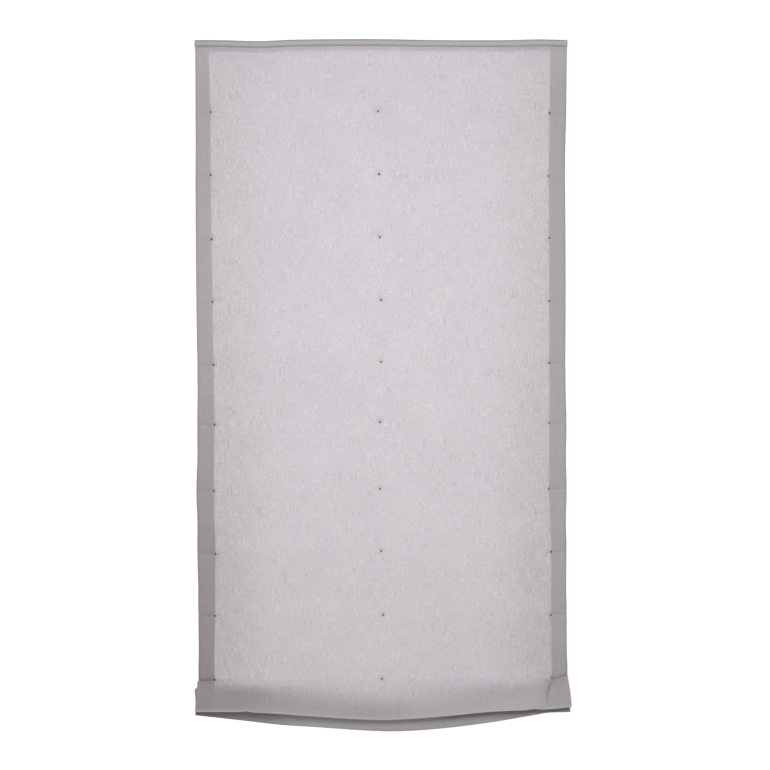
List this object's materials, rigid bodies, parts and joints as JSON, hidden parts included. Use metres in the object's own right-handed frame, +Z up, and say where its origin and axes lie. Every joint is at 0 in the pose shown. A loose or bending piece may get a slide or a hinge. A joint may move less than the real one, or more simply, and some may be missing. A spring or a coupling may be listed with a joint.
{
  "type": "relaxed roman shade",
  "caption": "Flat fabric window shade with turned side hems, a soft heading, sewn lift rings and a sagging fold along the bottom.",
  "frame": {"origin": "middle of the heading's top edge, on the flat back of the heading", "axes": "+Z up, -Y towards the room, +Y towards the window, +X to the right as seen from the room"},
  "size_m": [0.9034, 0.0669, 1.6653],
  "materials": {
    "linen": "semi-sheer linen, plain weave with slubs",
    "binding": "the same linen, folded double",
    "ring": "moulded, slightly translucent"
  },
  "bodies": {
    "root": {"shade_cloth": "linen", "heading_binding": "binding", "ring_left_1": "ring", "ring_mid_1": "ring", "ring_right_1": "ring", "ring_left_2": "ring", "ring_mid_2": "ring", "ring_right_2": "ring", "ring_left_3": "ring", "ring_mid_3": "ring", "ring_right_3": "ring", "ring_left_4": "ring", "ring_mid_4": "ring", "ring_right_4": "ring", "ring_left_5": "ring", "ring_mid_5": "ring", "ring_right_5": "ring", "ring_left_6": "ring", "ring_mid_6": "ring", "ring_right_6": "ring", "ring_left_7": "ring", "ring_mid_7": "ring", "ring_right_7": "ring", "ring_left_8": "ring", "ring_mid_8": "ring", "ring_right_8": "ring", "ring_left_9": "ring", "ring_mid_9": "ring", "ring_right_9": "ring", "ring_left_10": "ring", "ring_mid_10": "ring", "ring_right_10": "ring"}
  },
  "joints": []
}
